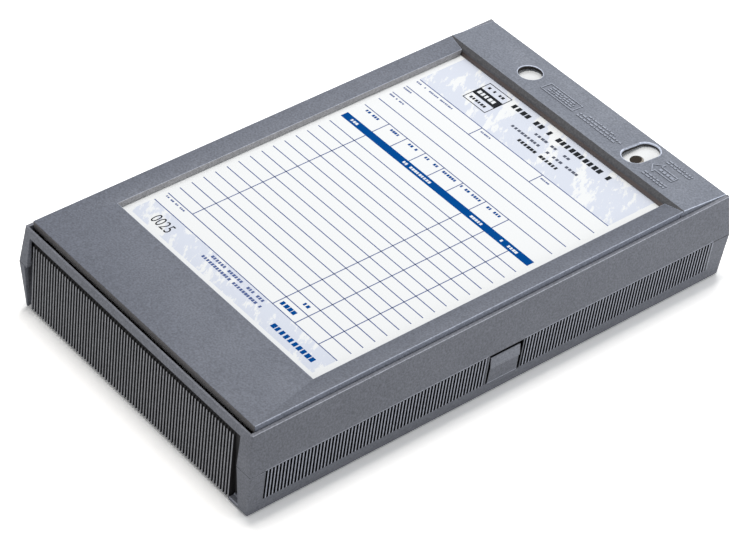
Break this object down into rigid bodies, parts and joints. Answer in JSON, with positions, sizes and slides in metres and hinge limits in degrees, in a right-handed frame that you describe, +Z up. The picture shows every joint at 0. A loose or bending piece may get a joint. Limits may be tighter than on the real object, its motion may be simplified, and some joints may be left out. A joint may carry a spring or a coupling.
{
  "type": "form register",
  "caption": "Flat writing case with a lifting lid frame, a slotted head bar and side press latches, feeding fan-fold forms round a roller over a writing plate.",
  "frame": {"origin": "on the table, below the middle of the bounding box", "axes": "+Y from the near end with the ribbed panel to the head bar, +X to the writer's right, +Z up"},
  "size_m": [0.1676, 0.2638, 0.0466],
  "materials": {
    "case_plastic": "fine matt grain",
    "lid_plastic": "fine matt grain",
    "bar_plastic": "satin, fine grain",
    "panel_plastic": "dark, ribs rubbed lighter",
    "roller_plastic": "smooth",
    "paper": "uncoated paper",
    "sheet_steel": "plain zinc",
    "steel": "bright",
    "foot_rubber": "matt"
  },
  "bodies": {
    "case": {"base_tray": "case_plastic", "foot_pads": "foot_rubber", "cover_hinge_pins": "steel", "supply_pack": "paper", "divider_plate": "sheet_steel", "divider_screws": "steel", "filed_copies": "paper"},
    "cover": {"upper_housing": "case_plastic", "end_panel": "panel_plastic", "panel_screws": "steel", "writing_plate": "sheet_steel", "plate_screws": "steel", "head_bar": "bar_plastic", "tear_strip": "sheet_steel", "head_bar_screws": "steel", "lid_hinge_pins": "steel", "roller_axle": "steel", "axle_clips": "steel", "web_lead": "paper"},
    "lid": {"lid_frame": "lid_plastic"},
    "latch_right": {"latch_right": "case_plastic"},
    "latch_left": {"latch_left": "case_plastic"},
    "roller": {"guide_roller": "roller_plastic"},
    "form": {"form_sheet": "paper"}
  },
  "joints": [
    {"name": "cover_hinge", "type": "hinge", "parent": "case", "child": "cover", "pos_m": [0, 0.1295, 0.0243], "axis": [-1, 0, 0], "range_deg": [0, 90]},
    {"name": "lid_hinge", "type": "hinge", "parent": "cover", "child": "lid", "pos_m": [0, -0.1234, 0.0434], "axis": [1, 0, 0], "range_deg": [0, 75]},
    {"name": "latch_press_right", "type": "hinge", "parent": "case", "child": "latch_right", "pos_m": [0.07963, 0.0017, 0.0066], "axis": [0, -1, 0], "range_deg": [0, 5], "stiffness_Nm_per_rad": 0.6, "springref_deg": -1.72},
    {"name": "latch_press_left", "type": "hinge", "parent": "case", "child": "latch_left", "pos_m": [-0.07963, 0.0017, 0.0066], "axis": [0, 1, 0], "range_deg": [0, 5], "stiffness_Nm_per_rad": 0.6, "springref_deg": -1.72},
    {"name": "form_feed", "type": "slide", "parent": "cover", "child": "form", "axis": [0, 1, 0], "range_m": [0, 0.0085]},
    {"name": "roller_spin", "type": "hinge", "parent": "cover", "child": "roller", "pos_m": [0, -0.1189, 0.0378], "axis": [-1, 0, 0], "continuous": true}
  ],
  "couplings": [
    {"joint": "roller_spin", "follows": "form_feed", "rad_per_m": 250}
  ]
}
